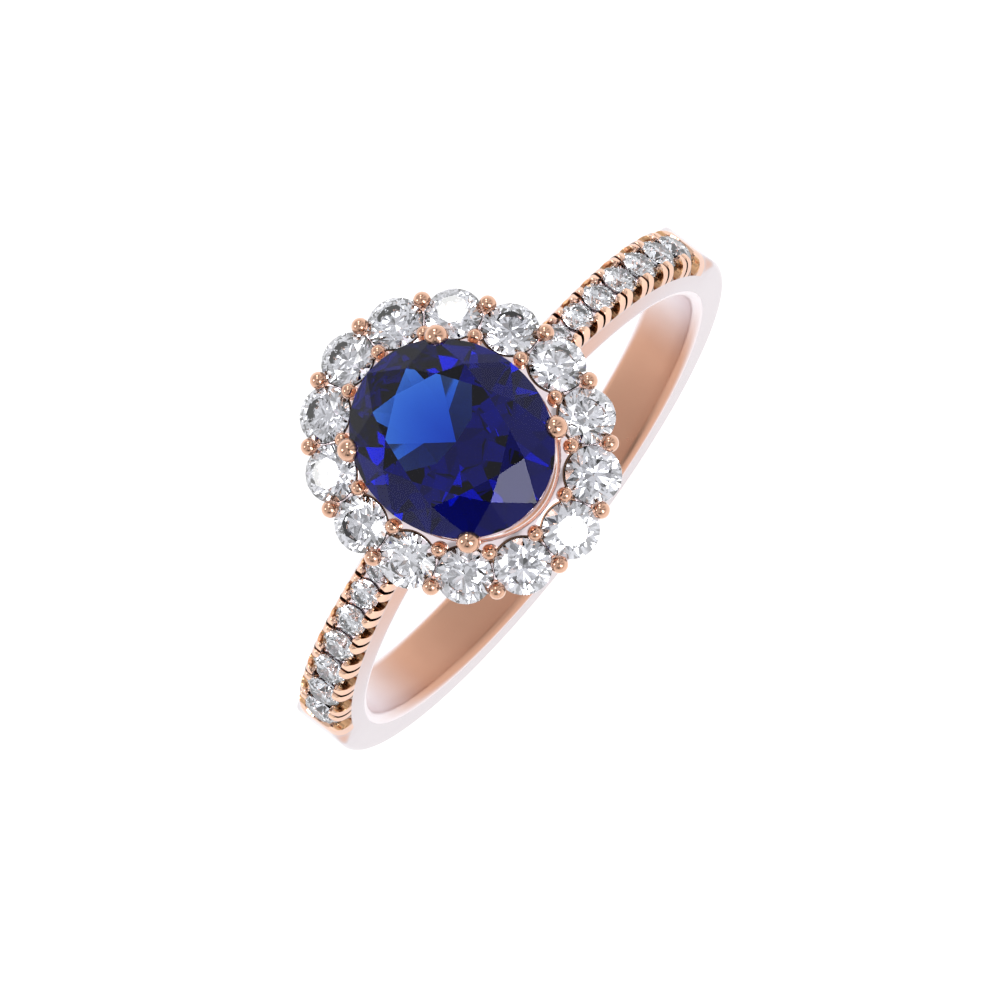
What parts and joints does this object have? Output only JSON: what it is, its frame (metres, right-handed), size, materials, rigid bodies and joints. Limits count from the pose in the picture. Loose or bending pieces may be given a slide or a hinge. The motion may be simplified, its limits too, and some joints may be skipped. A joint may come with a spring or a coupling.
{
  "type": "engagement ring",
  "caption": "Engagement ring with an oval faceted centre stone in a halo of small round stones, on a round band with stone-set shoulders.",
  "frame": {"origin": "centre of the finger hole, in the middle of the band's width", "axes": "+Y along the finger hole, +Z from the finger hole's centre up through the centre stone, +X to the shoulder on the right when seen from -Y"},
  "size_m": [0.02, 0.011, 0.0228],
  "materials": {
    "rose_gold": null,
    "sapphire": "polished facets, deep blue",
    "diamond": "polished facets, colourless"
  },
  "bodies": {
    "root": {"shank": "rose_gold", "base_rail": "rose_gold", "halo_frame": "rose_gold", "center_collet": "rose_gold", "claw_front_left": "rose_gold", "claw_front_right": "rose_gold", "claw_back_left": "rose_gold", "claw_back_right": "rose_gold", "center_sapphire": "sapphire", "halo_diamond_01": "diamond", "halo_diamond_02": "diamond", "halo_diamond_03": "diamond", "halo_diamond_04": "diamond", "halo_diamond_05": "diamond", "halo_diamond_06": "diamond", "halo_diamond_07": "diamond", "halo_diamond_08": "diamond", "halo_diamond_09": "diamond", "halo_diamond_10": "diamond", "halo_diamond_11": "diamond", "halo_diamond_12": "diamond", "halo_diamond_13": "diamond", "halo_diamond_14": "diamond", "right_shoulder_diamond_01": "diamond", "right_shoulder_diamond_02": "diamond", "right_shoulder_diamond_03": "diamond", "right_shoulder_diamond_04": "diamond", "right_shoulder_diamond_05": "diamond", "right_shoulder_diamond_06": "diamond", "right_shoulder_diamond_07": "diamond", "left_shoulder_diamond_01": "diamond", "left_shoulder_diamond_02": "diamond", "left_shoulder_diamond_03": "diamond", "left_shoulder_diamond_04": "diamond", "left_shoulder_diamond_05": "diamond", "left_shoulder_diamond_06": "diamond", "left_shoulder_diamond_07": "diamond"}
  },
  "joints": []
}
